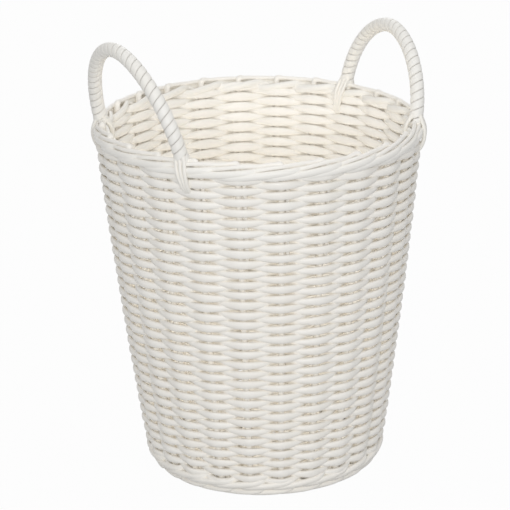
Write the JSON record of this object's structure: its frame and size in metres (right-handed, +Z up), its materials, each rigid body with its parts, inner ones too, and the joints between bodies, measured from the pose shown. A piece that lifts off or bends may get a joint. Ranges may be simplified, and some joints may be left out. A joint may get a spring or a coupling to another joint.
{
  "type": "woven laundry basket",
  "caption": "Tall round tapered basket of white woven plastic cane with a plaited border and two wound hoop handles, for holding and carrying laundry.",
  "frame": {"origin": "middle of the base, on the floor that the foot stands on", "axes": "+Z up along the basket's axis; the handles are towards -X (the taller one) and +X"},
  "size_m": [0.3379, 0.3354, 0.4743],
  "materials": {
    "stake_cane": "satin extruded cane",
    "weaver": "satin extruded cane with fine lengthwise lines",
    "border_cane": "satin extruded cane",
    "handle_cane": "satin extruded cane",
    "handle_tape": "satin flat tape with fine lengthwise lines"
  },
  "bodies": {
    "root": {"stake_01": "stake_cane", "stake_02": "stake_cane", "stake_03": "stake_cane", "stake_04": "stake_cane", "stake_05": "stake_cane", "stake_06": "stake_cane", "stake_07": "stake_cane", "stake_08": "stake_cane", "stake_09": "stake_cane", "stake_10": "stake_cane", "stake_11": "stake_cane", "stake_12": "stake_cane", "stake_13": "stake_cane", "stake_14": "stake_cane", "stake_15": "stake_cane", "stake_16": "stake_cane", "stake_17": "stake_cane", "stake_18": "stake_cane", "stake_19": "stake_cane", "stake_20": "stake_cane", "stake_21": "stake_cane", "stake_22": "stake_cane", "stake_23": "stake_cane", "stake_24": "stake_cane", "base_stick_1": "stake_cane", "base_stick_2": "stake_cane", "base_stick_3": "stake_cane", "base_stick_4": "stake_cane", "base_stick_5": "stake_cane", "base_stick_6": "stake_cane", "base_weave": "weaver", "foot_wale": "weaver", "side_weave": "weaver", "rim_border": "border_cane", "left_handle_outer_cane_1": "handle_cane", "left_handle_outer_cane_2": "handle_cane", "left_handle_outer_cane_3": "handle_cane", "left_handle_inner_cane_1": "handle_cane", "left_handle_inner_cane_2": "handle_cane", "left_handle_inner_cane_3": "handle_cane", "right_handle_outer_cane_1": "handle_cane", "right_handle_outer_cane_2": "handle_cane", "right_handle_outer_cane_3": "handle_cane", "right_handle_inner_cane_1": "handle_cane", "right_handle_inner_cane_2": "handle_cane", "right_handle_inner_cane_3": "handle_cane", "left_handle_core_cane": "handle_cane", "right_handle_core_cane": "handle_cane", "left_handle_wrap": "handle_tape", "right_handle_wrap": "handle_tape"}
  },
  "joints": []
}
